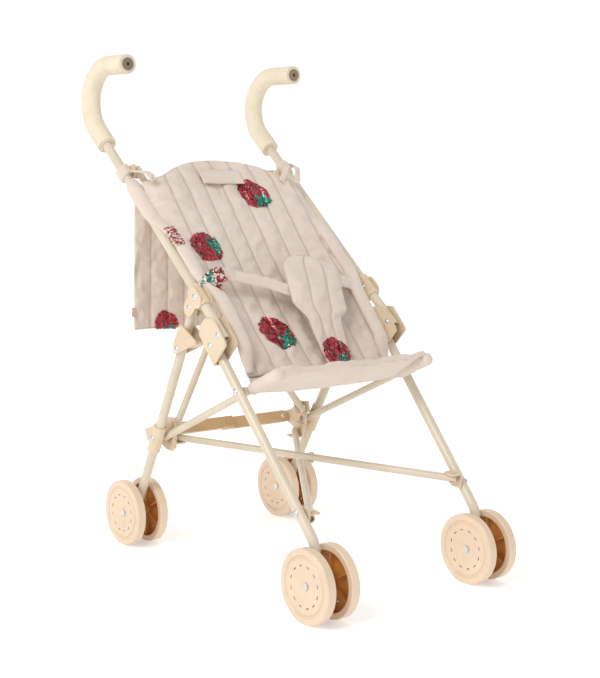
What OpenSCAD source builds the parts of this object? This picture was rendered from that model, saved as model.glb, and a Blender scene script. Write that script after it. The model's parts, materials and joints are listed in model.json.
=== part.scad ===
// Folding doll stroller with twin wheels, curved foam handles and a quilted sling seat.
// Units are millimetres. +Z is up, the doll faces -Y, and the doll's left hand is at +X.
// The origin is on the floor, under the middle of the whole object.
// Side-plane points are written [back, up], measured from the floor below the front axle.

/* [Wheels] */
// Diameter of a wheel disc
wheel_d = 75; // [60:1:90]
// Width of a wheel's tread
tread_w = 10.3; // [8:0.1:12]
// Distance from the middle of a wheel pair to its outer faces
pair_half = 20.2; // [18:0.1:24]
// Distance from the front axle to the rear axle
wheelbase = 336.5; // [320:0.5:350]
// Diameter of the steel axles
axle_d = 4.6; // [4:0.1:5]
// Half of the front track, to the middle of the wheel pair
front_foot_x = 109.5; // [105:0.5:115]
// Half of the rear track, to the middle of the wheel pair
rear_foot_x = 111.5; // [105:0.5:115]

/* [Side frame] */
// Half of the width between the handle tubes
side_x = 118; // [112:0.5:124]
// Outer diameter of the handle tubes and legs
tube_d = 10.5; // [9:0.5:12]
// Wall of every tube
tube_wall = 1; // [0.8:0.1:1.5]
// Slope of the front leg above the floor
leg_angle = 47.6; // [45:0.1:50]
// Slope of the handle tube above the floor
handle_angle = 39.7; // [37:0.1:42]
// Distance back from the front axle to the knee's leg rivet
knee_back = 168; // [160:1:175]
// Height of the knee's leg rivet
knee_up = 252; // [245:1:260]
// Distance between the knee's two rivets
knee_gap = 18; // [16:0.5:20]
// Distance along the handle from the knee to the rear leg's hinge
collar_along = 56.6; // [50:0.5:60]
// Distance from the handle tube's middle to the rear leg's hinge
collar_drop = 16.7; // [15:0.1:18]
// Height of the seat rail's rivet on the front leg
seat_pivot_up = 208.3; // [200:0.5:215]
// Height of the seat rail's hinge on the rear leg
rail_hinge_up = 132; // [125:1:140]
// Height of the cross brace's bracket on the front leg
front_cross_up = 101.5; // [95:0.5:110]
// Distance along the handle from the knee to the rear brace's bracket
upper_cross_along = 258; // [250:1:265]

/* [Handles] */
// Distance along the handle from the knee to the start of the foam grip
grip_start = 306; // [300:1:312]
// Straight length of the grip before its bend
grip_lead = 28.6; // [24:0.2:32]
// Radius of the bend, to the tube's middle
grip_bend_r = 40.6; // [38:0.2:44]
// Straight length of the grip after its bend
grip_tail = 41.8; // [36:0.2:45]
// Outer diameter of the foam grip
grip_d = 21.6; // [20:0.2:24]

/* [Seat frame and braces] */
// Outer diameter of the seat rails and cross tubes
rail_d = 8; // [7:0.5:9]
// Half of the width between the seat rails
rail_x = 102.5; // [100:0.5:104]
// Length of a seat rail in front of its rivet on the leg
rail_front = 55; // [45:1:60]
// Distance of a cross tube from the middle plane of its pair
cross_offset = 6.6; // [6.4:0.1:8]
// Distance from a cross tube's rivet to the wall behind it
cross_reach = 6.2; // [6:0.1:7]
// Height of the lock bar
lock_bar_h = 14; // [10:1:16]
// Thickness of each half of the lock bar
lock_bar_t = 4.6; // [4:0.1:5]

/* [Fabric] */
// Thickness of the quilted seat fabric
quilt_t = 7; // [5:0.5:9]
// Half of the width of the seat back
back_half = 93; // [88:1:94]
// Half of the width of the panel behind the seat
rear_panel_half = 98; // [90:1:100]
// Sideways place of the pad between the doll's legs
pad_x = 14; // [-10:1:20]
// Length of the loose quilted panel behind the seat
rear_panel_len = 152; // [140:1:165]

/* [Hidden] */

$fn = 48;
PAINT = "#e9e0cd";
PLASTIC = "#ecdcc0";
FOAM = "#cdb693";
PLUG = "#a99478";
STEEL = "#c9ccd2";
TAN = "#d9c19a";
CLOTH = "#eadfd2";

run = 0.05;                 // radial clearance of pins in their holes
side_gap = 0.3;             // clearance between plates that slide past each other
bend_seam = 0.02;           // hairline between a tube's straight stretch and its bend
rivet_d = 4;
knee_overhang = 6;          // how far the handle tube runs past its knee rivet
rivet_head_d = 7;
rivet_head_h = 1.7;
plate_t = 1.9;
tube_r = tube_d / 2;
rail_r = rail_d / 2;
hub_depth = 3;              // from the wheel's outer face in to the axle's washer
latch_in = tube_r + 1.1;    // from the rear leg's middle to the latch's plates
knee_in = tube_r + 0.8;     // from the leg's middle to the knee's plates
wheel_r = wheel_d / 2;

function unit2(a) = [cos(a), sin(a)];
function turn2(v, a) = [v[0] * cos(a) - v[1] * sin(a), v[0] * sin(a) + v[1] * cos(a)];
function angle2(v) = atan2(v[1], v[0]);
function mixed(a, b, k) = a + (b - a) * k;

// The side plane's directions: up the leg, up the handle, and square to each
leg_dir = unit2(leg_angle);
leg_front = unit2(leg_angle + 90);
handle_dir = unit2(handle_angle);
handle_back = unit2(handle_angle - 90);

// The side plane's points
front_axle = [0, wheel_r];
rear_axle = [wheelbase, wheel_r];
leg_pin = [knee_back, knee_up];
handle_pin = leg_pin + knee_gap * leg_front;
rear_hinge = handle_pin + collar_along * handle_dir + collar_drop * handle_back;
rear_dir = (rear_axle - rear_hinge) / norm(rear_axle - rear_hinge);
function on_rear(up) = rear_hinge + rear_dir * (rear_hinge[1] - up) / -rear_dir[1];
function on_leg(up) = leg_pin - leg_dir * (leg_pin[1] - up) / leg_dir[1];
rail_hinge = on_rear(rail_hinge_up);
seat_pivot = on_leg(seat_pivot_up);
front_cross = on_leg(front_cross_up);
upper_cross = handle_pin + upper_cross_along * handle_dir;
latch_pin = on_rear(240.5);
lower_knuckle = rail_hinge + [1, -9];
rear_knuckle = rail_hinge + [-4, 15];
lock_hinge = rail_hinge + [24.7, 1];
rail_dir = (seat_pivot - rail_hinge) / norm(seat_pivot - rail_hinge);
ankle = on_leg(77);
ankle_bend_r = 24;
leg_tilt = atan((side_x - front_foot_x) / (knee_up - wheel_r));

// The grip's bend
bend_start = handle_pin + (grip_start + grip_lead) * handle_dir;
bend_mid = bend_start - grip_bend_r * handle_back;
bend_sweep = 180 - handle_angle;

// The object's extent from front to back, which sets where the origin is
back_extent = bend_mid[0] + grip_bend_r + grip_d / 2;
y_mid = (back_extent - wheel_r) / 2;

// Lateral places
rear_x_at = function(s) mixed(side_x, rear_foot_x, (rear_hinge[1] - s[1]) / (rear_hinge[1] - wheel_r));
leg_x_at = function(s) mixed(side_x, front_foot_x, (leg_pin[1] - s[1]) / (leg_pin[1] - wheel_r));
rear_plate_x = 94;
rear_knuckle_x = rear_plate_x - side_gap;
lock_tilt = 32;             // slope of the lock bar's flat face
lock_hinge_x = rear_plate_x - 8;
lock_layer = 0.15;          // half of the gap between the lock bar's two halves
lock_ear_y = lock_layer + lock_bar_t + side_gap;
end_gap = 1;                // between a cross tube's end bracket and the tube beside it
front_end_x = leg_x_at(front_cross) - tube_r - end_gap;
upper_end_x = side_x - tube_r - end_gap;

function place(x, s) = [x, s[0] - y_mid, s[1]];

// ---- General shapes ----

// Stands the children on the line from p to q, starting at p
module toward(p, q) {
    d = q - p;
    translate(p)
        rotate([0, acos(d[2] / norm(d)), atan2(d[1], d[0])])
            children();
}

// A bar from p to q with round ends, hollow except for a solid stretch at each end
module round_bar(p, q, d, solid_end) {
    length = norm(q - p);
    toward(p, q)
        rotate_extrude()
            difference() {
                intersection() {
                    union() {
                        square([d / 2, length]);
                        circle(d = d);
                        translate([0, length])
                            circle(d = d);
                    }
                    translate([0, -d])
                        square([d, length + 2 * d]);
                }
                translate([0, solid_end])
                    square([d / 2 - tube_wall, length - 2 * solid_end]);
            }
}

// A round bar along X from x0 to x1
module cross_bar(s, x0, x1, d) {
    translate(place(min(x0, x1), s))
        rotate([0, 90, 0])
            cylinder(h = abs(x1 - x0), d = d);
}

// A flat shape in the side plane, from x0 to x1
module side_plate(x0, x1) {
    translate([min(x0, x1), -y_mid, 0])
        rotate([90, 0, 90])
            linear_extrude(height = abs(x1 - x0))
                children();
}

// A domed rivet head whose flat face is at the origin, pointing along +Z
module rivet_head() {
    cap_r = (pow(rivet_head_d / 2, 2) + pow(rivet_head_h, 2)) / (2 * rivet_head_h);
    intersection() {
        translate([0, 0, rivet_head_h - cap_r])
            sphere(r = cap_r);
        cylinder(h = rivet_head_h + 1, d = rivet_head_d + 1);
    }
}

// A rivet along X with a head at both ends; its grip runs from x0 to x1
module rivet_x(s, x0, x1) {
    cross_bar(s, x0, x1, rivet_d);
    translate(place(x1, s))
        rotate([0, 90, 0])
            rivet_head();
    translate(place(x0, s))
        rotate([0, -90, 0])
            rivet_head();
}

// A pin through a tube at x, with a head on its outer end only
module headed_pin(s, x) {
    cross_bar(s, x - tube_r + 0.4, x + tube_r + 0.05, rivet_d);
    translate(place(x + tube_r + 0.05, s))
        rotate([0, 90, 0])
            rivet_head();
}

// Mirrors the left side's part to the right side
module on_side(side) {
    if (side > 0) {
        children();
    } else {
        mirror([1, 0, 0])
            children();
    }
}

// A circle swept round two points in the side plane
module lozenge2(a, b, r) {
    d = b - a;
    translate(a)
        circle(r = r);
    translate(b)
        circle(r = r);
    translate(a)
        rotate(angle2(d))
            translate([0, -r])
                square([norm(d), 2 * r]);
}

// ---- Rear leg ----

module rear_leg(side) {
    color(PAINT)
        on_side(side)
            difference() {
                round_bar(place(side_x, rear_hinge), place(rear_foot_x, rear_axle), tube_d, 8);
                cross_bar(rear_hinge, side_x - 10, side_x + 10, rivet_d + 2 * run);
                cross_bar(latch_pin, side_x - 12, side_x + 10, rivet_d + 2 * run);
                cross_bar(rail_hinge, side_x - 20, side_x + 10, rivet_d + 2 * run);
                cross_bar(rear_axle, rear_foot_x - 10, rear_foot_x + 10, axle_d + 2 * run);
            }
}

// The rivets that stay with the rear leg: the latch's, the seat rail's and the lock bar's
module rear_rivets(side) {
    latch_x = rear_x_at(latch_pin);
    latch_grip = latch_in + plate_t + run;
    lock_grip = [lock_layer - 0.1, lock_ear_y + plate_t + 0.05];
    color(STEEL) {
        on_side(side) {
            rivet_x(latch_pin, latch_x - latch_grip, latch_x + latch_grip);
            rivet_x(rail_hinge, rail_x - rail_r - 0.15, rear_x_at(rail_hinge) + tube_r + plate_t + 0.05);
        }
        in_lock_frame(side) {
            translate([lock_hinge_x, lock_grip[0], 0])
                rotate([-90, 0, 0])
                    cylinder(h = lock_grip[1] - lock_grip[0], d = rivet_d);
            translate([lock_hinge_x, lock_grip[1], 0])
                rotate([-90, 0, 0])
                    rivet_head();
            translate([lock_hinge_x, lock_grip[0], 0])
                rotate([90, 0, 0])
                    rivet_head();
        }
    }
}

module axle(side, foot_x, s) {
    reach = pair_half - hub_depth + 0.1;
    color(STEEL)
        on_side(side) {
            cross_bar(s, foot_x - reach, foot_x + reach, axle_d);
            for (end = [-1, 1])
                translate(place(foot_x + end * reach, s))
                    rotate([0, 90 * end, 0])
                        cylinder(h = 1.3, d = 7);
        }
}

// One wheel disc. Its axis is Z, its inner face is at z = 0 and its dished outer face is at +z
module wheel_shape() {
    w = tread_w;
    r = wheel_r;
    hub_w = pair_half - tube_r - 0.6;
    hub_r = axle_d / 2 + run;
    slots = 12;
    difference() {
        union() {
            rotate_extrude($fn = 96)
                polygon([[r - 6.8, 0], [r - 0.8, 0], [r, 0.8], [r, w - 1], [r - 1.1, w], [r - 6.2, w],
                         [r - 7.6, w - 1.6], [r - 9, w - 1.6], [r - 10.2, w - 0.4], [18, w - 0.4],
                         [9, w - 2.6], [hub_r, w - hub_depth], [hub_r, w - 4.8],
                         [9, w - 4.8], [18, w - 2.6], [r - 11, w - 2.6], [r - 8.6, w - 3.8],
                         [r - 6.8, w - 3.8]]);
            difference() {
                translate([0, 0, w - hub_w])
                    cylinder(h = hub_w - 3, r = 6.2);
                translate([0, 0, w - hub_w - 1])
                    cylinder(h = hub_w + 2, r = hub_r);
            }
            for (i = [0:5])
                rotate(i * 60)
                    translate([5.9, -0.8, w - 8.4])
                        cube([r - 12.4, 1.6, 5.2]);
        }
        for (i = [0:slots - 1])
            rotate(i * 360 / slots + 15)
                translate([20.4, -2, w - 4])
                    cube([1.1, 4, 8]);
        translate([0, 0, w - hub_depth])
            cylinder(h = 4, r = 4.2);
    }
}

// outward is 1 for the disc on the outside of the leg and -1 for the inside one
module wheel(side, foot_x, s, outward) {
    color(PLASTIC)
        on_side(side)
            translate(place(foot_x + outward * (pair_half - tread_w), s))
                rotate([0, 90 * outward, 0])
                    wheel_shape();
}

// The plastic bracket low on the rear leg: a sleeve, a web behind the rail, an inboard plate
// and an ear for the lock bar
module rear_lower_bracket(side) {
    reach = 17;
    upper = rail_hinge - rear_dir * reach;
    lower = rail_hinge + rear_dir * reach;
    lock_corner = [lock_hinge + [3, -8], lock_hinge + [8, 4], lock_hinge + [-4, 8]];
    color(PLASTIC) {
        on_side(side)
            difference() {
                union() {
                    toward(place(rear_x_at(upper), upper), place(rear_x_at(lower), lower))
                        cylinder(h = 2 * reach, r = tube_r + plate_t);
                    side_plate(rear_plate_x, rear_x_at(rail_hinge) - tube_r + 1)
                        polygon(concat([rail_hinge + [8, -4], rail_hinge + [17, -10]], lock_corner,
                                       [rail_hinge + [10, 14]]));
                    side_plate(rear_plate_x, rear_plate_x + 3)
                        polygon(concat([lower_knuckle + [-6, -7], lower_knuckle + [6, -7]], lock_corner,
                                       [rear_knuckle + [7, 7], rear_knuckle + [-6, 7],
                                        rail_hinge + [-8, 2]]));
                }
                toward(place(side_x, rear_hinge), place(rear_foot_x, rear_axle))
                    cylinder(h = 250, d = tube_d + 2 * run);
                cross_bar(rail_hinge, rail_x - 20, side_x + 10, rivet_d + 2 * run);
                cross_bar(rail_hinge, rear_plate_x - 1, rail_x - rail_r - 0.05, rivet_head_d + 1);
                for (s = [lower_knuckle, rear_knuckle])
                    cross_bar(s, rear_plate_x - 1, rear_plate_x + 4, rivet_d + 2 * run);
            }
        in_lock_frame(side)
            difference() {
                union() {
                    translate([lock_hinge_x, lock_ear_y, -6])
                        cube([rear_plate_x - lock_hinge_x + 2, plate_t, 12]);
                    translate([lock_hinge_x, lock_ear_y, 0])
                        rotate([-90, 0, 0])
                            cylinder(h = plate_t, r = 6);
                }
                translate([lock_hinge_x, 0, 0])
                    rotate([-90, 0, 0])
                        cylinder(h = 20, d = rivet_d + 2 * run);
            }
    }
}

// ---- Handle ----

// A straight tube standing on the origin
module straight_tube(length, d, inner) {
    difference() {
        cylinder(h = length, d = d);
        translate([0, 0, -1])
            cylinder(h = length + 2, d = inner);
    }
}

// The handle's middle line, swept with a round section: the lead, the bend and the tail
module handle_sweep(from, d, inner) {
    tail_end = [bend_mid[0] - grip_tail, bend_mid[1] + grip_bend_r];
    start = handle_pin + from * handle_dir;
    toward(place(side_x, start), place(side_x, bend_start))
        straight_tube(norm(bend_start - start) - bend_seam, d, inner);
    translate(place(side_x, bend_mid))
        rotate([90, 0, 90])
            rotate([0, 0, handle_angle - 90])
                rotate_extrude(angle = bend_sweep)
                    translate([grip_bend_r, 0])
                        difference() {
                            circle(d = d);
                            circle(d = inner);
                        }
    toward(place(side_x, tail_end), place(side_x, [bend_mid[0], tail_end[1]]))
        straight_tube(grip_tail - bend_seam, d, inner);
}

module handle_tube(side) {
    color(PAINT)
        on_side(side)
            difference() {
                handle_sweep(-knee_overhang, tube_d, tube_d - 2 * tube_wall);
                cross_bar(handle_pin, side_x - 10, side_x + 10, rivet_d + 2 * run);
                cross_bar(handle_pin + collar_along * handle_dir, side_x - 10, side_x + 10,
                          rivet_d + 2 * run);
                cross_bar(upper_cross, side_x - 10, side_x + 10, rivet_d + 2 * run);
            }
}

module foam_grip(side) {
    color(FOAM)
        on_side(side)
            handle_sweep(grip_start, grip_d, tube_d + 2 * run);
}

// The plug in the grip's open end, with a small hole in its middle
module grip_plug(side) {
    tail_end = [bend_mid[0] - grip_tail, bend_mid[1] + grip_bend_r];
    color(PLUG)
        on_side(side)
            difference() {
                toward(place(side_x, tail_end + [6, 0]), place(side_x, tail_end - [1.2, 0])) {
                    cylinder(h = 6, d = tube_d - 2 * tube_wall - 0.1);
                    translate([0, 0, 6])
                        cylinder(h = 1.2, d = 14);
                }
                toward(place(side_x, tail_end + [2, 0]), place(side_x, tail_end - [4, 0]))
                    cylinder(h = 8, d = 4);
            }
}

// The collar on the handle tube whose two ears carry the rear leg
module hinge_collar(side) {
    fixing = handle_pin + collar_along * handle_dir;
    ear_in = tube_r + 0.35;
    ear_out = tube_r + 0.35 + plate_t;
    color(PLASTIC)
        on_side(side)
            difference() {
                union() {
                    toward(place(side_x, fixing - 14 * handle_dir), place(side_x, fixing + 14 * handle_dir))
                        cylinder(h = 28, r = tube_r + plate_t + 0.35);
                    for (out = [-1, 1])
                        side_plate(side_x + out * ear_in, side_x + out * ear_out)
                            union() {
                                lozenge2(fixing, rear_hinge, 8.6);
                                lozenge2(fixing + 5 * handle_dir, fixing - 5 * handle_dir, 8.6);
                            }
                }
                toward(place(side_x, handle_pin), place(side_x, handle_pin + 100 * handle_dir))
                    cylinder(h = 100, d = tube_d + 2 * run);
                cross_bar(fixing, side_x - 12, side_x + 12, rivet_d + 2 * run);
                cross_bar(rear_hinge, side_x - 12, side_x + 12, rivet_d + 2 * run);
            }
}

module handle_rivets(side) {
    fixing = handle_pin + collar_along * handle_dir;
    grip = tube_r + 0.4 + plate_t;
    color(STEEL)
        on_side(side) {
            rivet_x(fixing, side_x - grip, side_x + grip);
            rivet_x(rear_hinge, side_x - grip, side_x + grip);
            headed_pin(upper_cross, side_x);
        }
}

// ---- Front leg ----

// The leg leans inwards as one piece: it is drawn flat, then tilted about its axle
module front_leg(side) {
    foot_angle = angle2(front_axle - ankle);
    turn = foot_angle + 360 - (leg_angle + 180);
    set_back = ankle_bend_r * tan(turn / 2);
    bend_top = ankle + set_back * leg_dir;
    bend_centre = bend_top + ankle_bend_r * unit2(leg_angle - 90);
    bend_end = ankle + set_back * unit2(foot_angle);
    straight = norm(leg_pin - bend_top);
    color(PAINT)
        on_side(side)
            difference() {
                translate(place(front_foot_x, front_axle))
                    rotate([0, leg_tilt, 0])
                        translate(-place(0, front_axle))
                            difference() {
                                union() {
                                    toward(place(0, leg_pin), place(0, bend_top)) {
                                        sphere(d = tube_d);
                                        cylinder(h = straight - bend_seam, d = tube_d);
                                    }
                                    translate(place(0, bend_centre))
                                        rotate([90, 0, 90])
                                            rotate([0, 0, leg_angle + 90])
                                                rotate_extrude(angle = turn)
                                                    translate([ankle_bend_r, 0])
                                                        circle(d = tube_d);
                                    toward(place(0, front_axle), place(0, bend_end)) {
                                        sphere(d = tube_d);
                                        cylinder(h = norm(front_axle - bend_end) - bend_seam, d = tube_d);
                                    }
                                }
                                toward(place(0, mixed(leg_pin, bend_top, 0.04)), place(0, bend_top))
                                    cylinder(h = straight * 0.92, d = tube_d - 2 * tube_wall);
                            }
                cross_bar(leg_pin, side_x - 10, side_x + 10, rivet_d + 2 * run);
                cross_bar(seat_pivot, side_x - 12, side_x + 10, rivet_d + 2 * run);
                cross_bar(front_cross, side_x - 16, side_x + 10, rivet_d + 2 * run);
                cross_bar(front_axle, front_foot_x - 10, front_foot_x + 10, axle_d + 2 * run);
            }
}

// The knee's channel: two plates and a web behind the leg
module knee_bracket(side) {
    out = knee_in + plate_t;
    outline = [leg_pin + turn2([-20, -7.6], leg_angle), leg_pin + turn2([-17, 23.4], leg_angle),
               leg_pin + turn2([-13, 25.4], leg_angle), leg_pin + turn2([17, 24.4], leg_angle),
               leg_pin + turn2([27, 12], leg_angle), leg_pin + turn2([26, -2], leg_angle),
               leg_pin + turn2([20, -7.6], leg_angle)];
    web = [leg_pin + turn2([-20, -7.6], leg_angle), leg_pin + turn2([-20, -5.7], leg_angle),
           leg_pin + turn2([20, -5.7], leg_angle), leg_pin + turn2([20, -7.6], leg_angle)];
    color(PLASTIC)
        on_side(side)
            difference() {
                union() {
                    for (s = [-1, 1])
                        side_plate(side_x + s * knee_in, side_x + s * out)
                            polygon(outline);
                    side_plate(side_x - knee_in - 0.5, side_x + knee_in + 0.5)
                        polygon(web);
                }
                cross_bar(leg_pin, side_x - 12, side_x + 12, rivet_d + 2 * run);
                cross_bar(handle_pin, side_x - 12, side_x + 12, rivet_d + 2 * run);
            }
}

// The rivets that stay with the front leg: both knee rivets, the seat rail's and the brace's
module leg_rivets(side) {
    grip = knee_in + plate_t + run;
    color(STEEL)
        on_side(side) {
            rivet_x(leg_pin, side_x - grip, side_x + grip);
            rivet_x(handle_pin, side_x - grip, side_x + grip);
            headed_pin(seat_pivot, leg_x_at(seat_pivot));
            headed_pin(front_cross, leg_x_at(front_cross));
        }
}

// ---- Latch on the rear leg ----

// Two three-cornered plates joined by a web that bears on the knee bracket
module fold_latch(side) {
    x = rear_x_at(latch_pin);
    out = latch_in + plate_t;
    edge_angle = 158.2;
    web_from = 23;
    web_to = 41;
    edge_end = latch_pin + [1, -5];
    tip = edge_end + web_to * unit2(edge_angle);
    outline = [edge_end + [4.5, 1], latch_pin + [5.5, 6], latch_pin + [-6, 27], latch_pin + [-11, 27],
               tip + [-0.6, 3], tip, edge_end];
    web = [edge_end + web_from * unit2(edge_angle), tip, tip + [0.5, 2.4],
           edge_end + (web_from + 1) * unit2(edge_angle) + 2 * unit2(edge_angle - 90)];
    color(PLASTIC)
        on_side(side)
            difference() {
                union() {
                    for (s = [-1, 1])
                        side_plate(x + s * latch_in, x + s * out)
                            polygon(outline);
                    side_plate(x - latch_in - 0.5, x + latch_in + 0.5)
                        polygon(web);
                }
                cross_bar(latch_pin, x - 12, x + 12, rivet_d + 2 * run);
            }
}

// ---- Seat rail ----

module seat_rail(side) {
    front = seat_pivot + rail_front * rail_dir;
    x = rail_x;
    spacer_end = leg_x_at(seat_pivot) - tube_r - side_gap;
    color(PAINT)
        on_side(side)
            difference() {
                union() {
                    round_bar(place(x, rail_hinge), place(x, front), rail_d, 8);
                    cross_bar(seat_pivot, x + rail_r - 0.5, spacer_end, 9);
                }
                cross_bar(rail_hinge, x - 8, x + 8, rivet_d + 2 * run);
            }
}

// ---- Cross braces ----

// A cross tube starts at a knuckle on one rear bracket and ends in a bracket on the other side.
// from and to are side-plane points, from_x and to_x the walls that the brackets sit against.
// level is the tube's distance from the pair's middle plane.
function pair_up(from, to) = [-(to - from)[1], (to - from)[0]] / norm(to - from);

// An L-shaped bracket: a wall plate, and a flange above (flip = 1) or below (flip = -1) the tube
module cross_bracket(s, wall_x, level, along, flip, pinned) {
    a = angle2(along);
    color(PLASTIC)
        translate(place(wall_x, s))
            rotate([a, 0, 0])
                difference() {
                    union() {
                        translate([-2.2, -7, min(level - 6, -4)])
                            cube([2.2, 14, max(level + 6, 4) - min(level - 6, -4)]);
                        translate([-cross_reach - 8.4, -7, level + flip * (rail_r + 0.3 + 0.9) - 0.9])
                            cube([cross_reach + 8.4, 14, 1.8]);
                        translate([-cross_reach - 2.2, 0, level + flip * (rail_r + 1.2) - 0.9])
                            cylinder(h = 1.8, r = 7);
                    }
                    translate([-cross_reach - 2.2, 0, level - 12])
                        cylinder(h = 24, d = 3.4 + 2 * run);
                    if (pinned)
                        rotate([0, 90, 0])
                            translate([0, 0, -4])
                                cylinder(h = 8, d = rivet_d + 2 * run);
                }
}

// The rivet that pins a knuckle to its wall, along X
module knuckle_rivet(s, wall_x) {
    head = 1;
    plate = 3 + side_gap + run;
    color(STEEL)
        translate(place(wall_x, s))
            rotate([0, 90, 0]) {
                translate([0, 0, -3.2])
                    cylinder(h = 3.2 + plate + 0.2, d = rivet_d);
                translate([0, 0, -3.2])
                    cylinder(h = head, d = 6);
                translate([0, 0, plate])
                    cylinder(h = head, d = 6);
            }
}

// The tube itself, with a rivet at each end and the crossing rivet or its washer
module cross_tube_shape(a, b, a_x, b_x, level, flip_a, flip_b, crossing) {
    up = pair_up(a, b);
    pa = place(a_x, a) + level * [0, up[0], up[1]];
    pb = place(b_x, b) + level * [0, up[0], up[1]];
    n = [0, up[0], up[1]];
    d = (pb - pa) / norm(pb - pa);
    mid = (pa + pb) / 2;
    color(PAINT)
        difference() {
            toward(pa - 5 * d, pb + 5 * d)
                difference() {
                    cylinder(h = norm(pb - pa) + 10, d = rail_d);
                    for (z = [-1, norm(pb - pa) + 5])
                        translate([0, 0, z])
                            cylinder(h = 6, d = rail_d - 2 * tube_wall);
                }
            for (p = [pa, pb])
                toward(p - 10 * n, p + 10 * n)
                    cylinder(h = 20, d = 3.4 + 2 * run);
            toward(mid - 10 * n, mid + 10 * n)
                cylinder(h = 20, d = 3.4 + 2 * run);
        }
    color(STEEL) {
        cross_rivet(pa, n, flip_a);
        cross_rivet(pb, n, flip_b);
        toward(mid - (rail_r + (crossing < 0 ? 0.6 : 2)) * n, mid + rail_r * n * 1.02)
            cylinder(h = rail_r + (crossing < 0 ? 0.6 : 2) + rail_r * 1.02, d = 3.4);
        toward(mid + rail_r * 1.01 * n * (crossing < 0 ? -1 : 1), mid + n * 40 * (crossing < 0 ? -1 : 1))
            cylinder(h = 1.3, d = 6);
        if (crossing > 0)
            toward(mid - rail_r * 1.01 * n, mid - 40 * n)
                cylinder(h = 2.2, d = 6.5);
    }
}

module cross_rivet(p, n, flip) {
    toward(p - flip * (rail_r + 0.1) * n, p + flip * 40 * n)
        cylinder(h = 2 * rail_r + 2.4, d = 3.4);
    toward(p + flip * (rail_r + 2.15) * n, p + flip * 40 * n)
        cylinder(h = 1.2, d = 6.4);
    toward(p - flip * rail_r * 1.01 * n, p - flip * 40 * n)
        cylinder(h = 1, d = 6);
}

// Side 1 starts at the left rear bracket and side -1 at the right one
module lower_cross_knuckle(side) {
    on_side(side) {
        cross_bracket(lower_knuckle, rear_knuckle_x, -side * cross_offset, lower_knuckle - front_cross,
                      -1, true);
        knuckle_rivet(lower_knuckle, rear_knuckle_x);
    }
}

module lower_cross_end(side) {
    on_side(-side)
        cross_bracket(front_cross, front_end_x, -side * cross_offset, lower_knuckle - front_cross, 1, false);
}

module lower_cross_tube(side) {
    on_side(side)
        cross_tube_shape(front_cross, lower_knuckle, -(front_end_x - cross_reach - 2.2),
                         rear_knuckle_x - cross_reach - 2.2, -side * cross_offset, 1, -1, -side);
}

module rear_cross_knuckle(side) {
    on_side(side) {
        cross_bracket(rear_knuckle, rear_knuckle_x, side * cross_offset, upper_cross - rear_knuckle, -1, true);
        knuckle_rivet(rear_knuckle, rear_knuckle_x);
    }
}

module rear_cross_end(side) {
    on_side(-side)
        cross_bracket(upper_cross, upper_end_x, side * cross_offset, upper_cross - rear_knuckle, -1, false);
}

module rear_cross_tube(side) {
    on_side(side)
        cross_tube_shape(rear_knuckle, upper_cross, rear_knuckle_x - cross_reach - 2.2,
                         -(upper_end_x - cross_reach - 2.2), side * cross_offset, -1, -1, side);
}

// ---- Lock bar ----

// Each half is a flat bar from its hinge to just past the middle; the left one lies in front
module lock_bar_half(side) {
    overlap = 7;
    color(TAN)
        in_lock_frame(side)
            difference() {
                union() {
                    translate([-overlap, lock_layer, -lock_bar_h / 2])
                        cube([lock_hinge_x + overlap, lock_bar_t, lock_bar_h]);
                    translate([lock_hinge_x, lock_layer, 0])
                        rotate([-90, 0, 0])
                            cylinder(h = lock_bar_t, d = lock_bar_h);
                }
                translate([lock_hinge_x, -1, 0])
                    rotate([-90, 0, 0])
                        cylinder(h = lock_bar_t + 2, d = rivet_d + 2 * run);
            }
    color(STEEL)
        in_lock_frame(side)
            translate([0, lock_layer + lock_bar_t, 0])
                rotate([-90, 0, 0])
                    cylinder(h = 1.4, d = rivet_head_d);
}

// The lock bar's own frame: y = 0 lies between the halves, and +y is the half's outer face
module in_lock_frame(side) {
    on_side(side)
        translate(place(0, lock_hinge))
            rotate([-lock_tilt, 0, 0])
                mirror([0, side > 0 ? 0 : 1, 0])
                    children();
}

// ---- Fabric ----

// A flat closed pad in the side plane's direction a, thickness t, half width w
module pad(start, a, len, w, t) {
    translate(place(-w, start))
        rotate([a, 0, 0])
            cube([2 * w, len, t]);
}

// The seat back's lower edge, where it meets the seat base, and its upper edge
crease = seat_pivot + [9, 12];
back_top_point = upper_cross + [-31, -9];
seat_front = seat_pivot + (rail_front - 3) * rail_dir;

module seat_back_quilt() {
    d = back_top_point - crease;
    color(CLOTH)
        pad(crease, angle2(d), norm(d), back_half, quilt_t);
}

// The seat base hangs between the rails, just above them at the front edge
module seat_base_quilt() {
    d = crease - [11, -1] - seat_front;
    color(CLOTH)
        pad(seat_front, angle2(d), norm(d), back_half, quilt_t - 1);
}

// The sides of the sling, from the handle tubes and front legs in to the seat back
module side_wing(side) {
    color(CLOTH)
        on_side(side)
            side_plate(back_half + 0.5, back_half + 3.5)
                polygon([crease + [-4, 2], seat_pivot + [-4, 18], handle_pin + [-7, -4],
                         handle_pin + [17, 24], handle_pin + 134 * handle_dir + [-4, 4]]);
}

module rear_quilted_panel() {
    top = [upper_cross[0] + 6, upper_cross[1] - 31];
    color(CLOTH)
        translate(place(-rear_panel_half, top - [0, rear_panel_len]))
            cube([2 * rear_panel_half, 6, rear_panel_len]);
}

// The pad between the doll's legs: a wide top and a narrow strap down to the seat
module crotch_pad() {
    top = seat_pivot + [30, 128];
    low = seat_pivot + [1, 22];
    d = top - low;
    color(CLOTH)
        translate(place(pad_x, low))
            rotate([angle2(d), 0, 0])
                union() {
                    translate([-17, 0, 0])
                        cube([34, norm(d) - 30, 5]);
                    translate([-32, 56, 0])
                        cube([64, norm(d) - 66, 5]);
                    translate([0, norm(d) - 32, 0])
                        cylinder(h = 5, r = 32);
                }
}

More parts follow.
